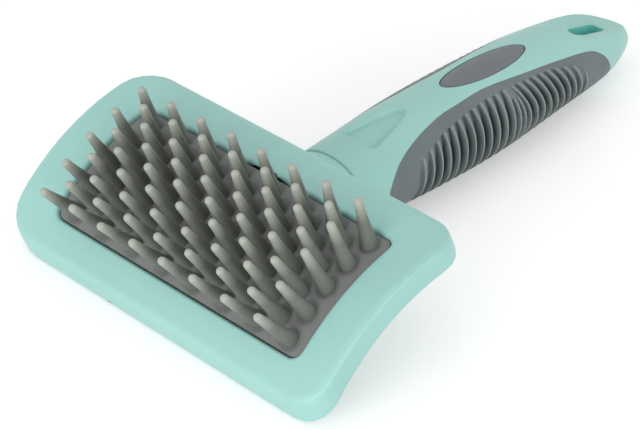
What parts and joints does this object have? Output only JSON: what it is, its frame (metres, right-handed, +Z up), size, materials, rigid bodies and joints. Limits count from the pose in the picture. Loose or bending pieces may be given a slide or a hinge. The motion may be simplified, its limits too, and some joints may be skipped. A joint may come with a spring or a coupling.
{
  "type": "pet grooming brush",
  "caption": "Pet grooming brush with an arched head of soft rubber pins in a window frame, and a handle with a ribbed soft grip and a hang slot.",
  "frame": {"origin": "bottom centre of the brush's bounding box, on the table it lies on", "axes": "+Y from the head to the tail of the handle, +Z up, out of the pins' side, +X along the long side of the head, to the left when seen from the tail"},
  "size_m": [0.1084, 0.1626, 0.0377],
  "materials": {
    "mint_plastic": "satin mint polypropylene",
    "grid_plastic": "matt purple-grey plastic",
    "pin_rubber": "matt greenish-grey soft rubber",
    "grip_rubber": "matt dark-grey soft grip",
    "badge_plastic": "smooth dark-grey plastic, bare",
    "screw_steel": "zinc-plated steel"
  },
  "bodies": {
    "root": {"head_frame": "mint_plastic", "head_back": "mint_plastic", "pin_grid": "grid_plastic", "pin_pad": "pin_rubber", "handle_body": "mint_plastic", "grip": "grip_rubber", "badge": "badge_plastic", "neck_screw": "screw_steel"}
  },
  "joints": []
}
